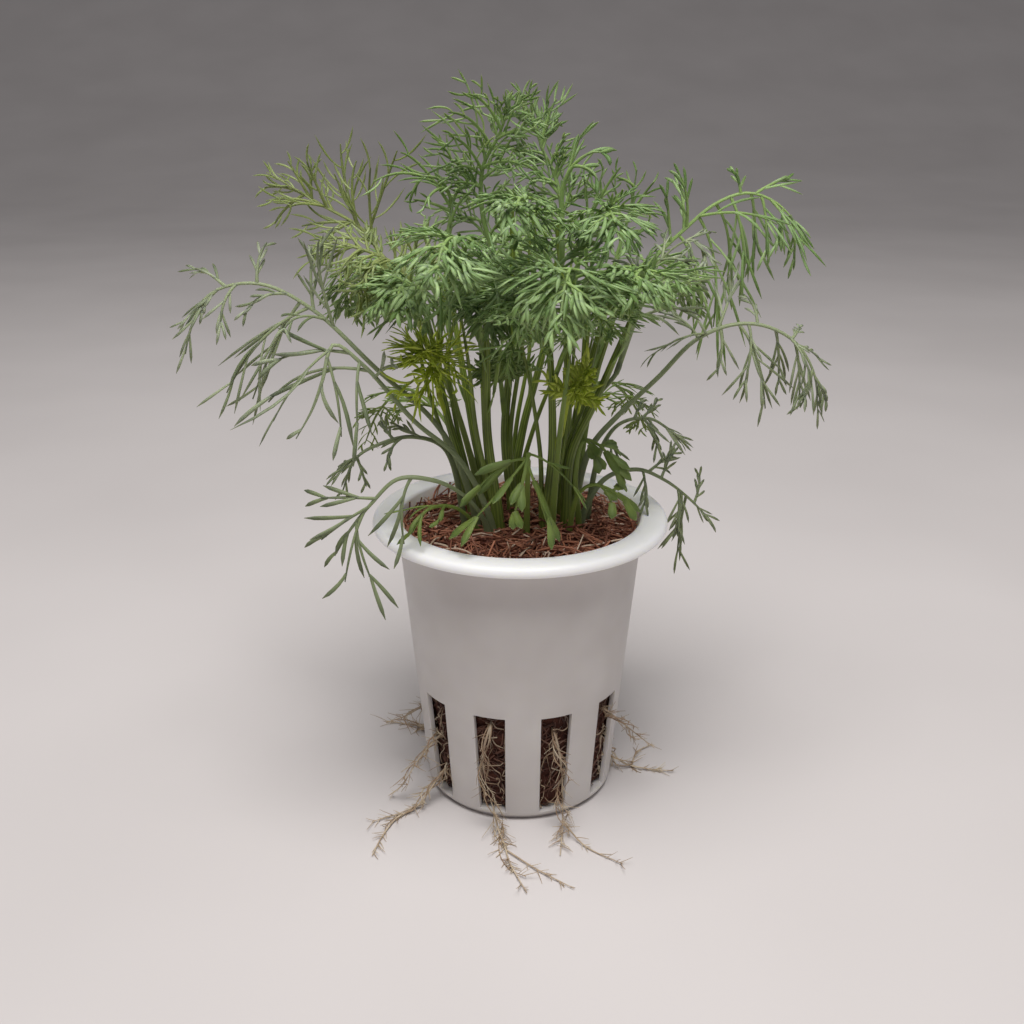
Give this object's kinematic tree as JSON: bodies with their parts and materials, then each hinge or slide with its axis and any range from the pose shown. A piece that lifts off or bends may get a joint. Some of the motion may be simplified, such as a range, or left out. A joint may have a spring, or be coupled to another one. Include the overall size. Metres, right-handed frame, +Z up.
{
  "type": "potted dill bunch",
  "caption": "Bunch of young feathery dill growing from a coir plug in a white slotted net pot, with pale roots trailing out of the slots onto the surface.",
  "frame": {"origin": "centre of the net pot's flat underside, on the surface it stands on", "axes": "+Z up along the pot's axis, +X to the right and -Y towards the front"},
  "size_m": [0.1224, 0.0943, 0.1412],
  "materials": {
    "pot_plastic": "satin white moulded polypropylene",
    "coir_fibre": "rough red-brown shredded coconut fibre, damp",
    "stem_green": "smooth satin green stalk",
    "leaf_green": "soft matt green, thread-like",
    "leaf_grey_green": "soft matt grey olive green, thread-like",
    "leaf_yellow_green": "soft matt young yellow-green, thread-like",
    "leaf_new_growth": "soft matt bright yellow-green, in dense tufts of young leaflets",
    "root_fibre": "dry pale tan fibre"
  },
  "bodies": {
    "root": {"net_pot": "pot_plastic", "coir_plug": "coir_fibre", "stem_left": "stem_green", "stem_front_left": "stem_green", "stem_middle": "stem_green", "stem_front": "stem_green", "stem_right_middle": "stem_green", "stem_right_leaning": "stem_green", "stem_right": "stem_green", "stem_back_left": "stem_green", "stem_back": "stem_green", "leaf_front_arch": "leaf_green", "leaf_front_right": "leaf_green", "leaf_front_left": "leaf_green", "leaf_right_high": "leaf_green", "leaf_rim_front": "leaf_green", "leaf_front_droop": "leaf_green", "leaf_rim_right": "leaf_green", "leaf_back_arch": "leaf_green", "leaf_back_left": "leaf_green", "leaf_back_right": "leaf_green", "leaf_back_left_low": "leaf_green", "leaf_back_right_low": "leaf_green", "leaf_left_arch": "leaf_grey_green", "leaf_left_low": "leaf_grey_green", "leaf_front_top": "leaf_green", "leaf_front_high": "leaf_green", "leaf_right_arch": "leaf_grey_green", "leaf_rim_left": "leaf_grey_green", "leaf_left_small": "leaf_grey_green", "leaf_right_low": "leaf_green", "leaf_right_small": "leaf_grey_green", "leaf_rim_right_hanging": "leaf_grey_green", "leaf_top_left": "leaf_green", "leaf_top_middle": "leaf_green", "leaf_top_right": "leaf_green", "leaf_high_right": "leaf_green", "leaf_right_upright": "leaf_green", "leaf_high_left": "leaf_green", "leaf_back_upright": "leaf_green", "leaf_back_high": "leaf_green", "leaf_left_fan": "leaf_yellow_green", "leaf_left_spray": "leaf_yellow_green", "leaf_front_tuft": "leaf_new_growth", "leaf_right_tuft": "leaf_new_growth", "leaf_middle_left": "leaf_green", "leaf_middle_high": "leaf_green", "leaf_middle_low": "leaf_green", "leaf_middle_tuft": "leaf_green", "leaf_middle_right": "leaf_green", "leaf_right_middle": "leaf_grey_green", "root_front_left": "root_fibre", "root_front_right": "root_fibre", "root_left": "root_fibre", "root_left_hanging": "root_fibre", "root_left_fine": "root_fibre", "root_right": "root_fibre", "root_right_low": "root_fibre", "root_back": "root_fibre", "root_back_left": "root_fibre"}
  },
  "joints": []
}
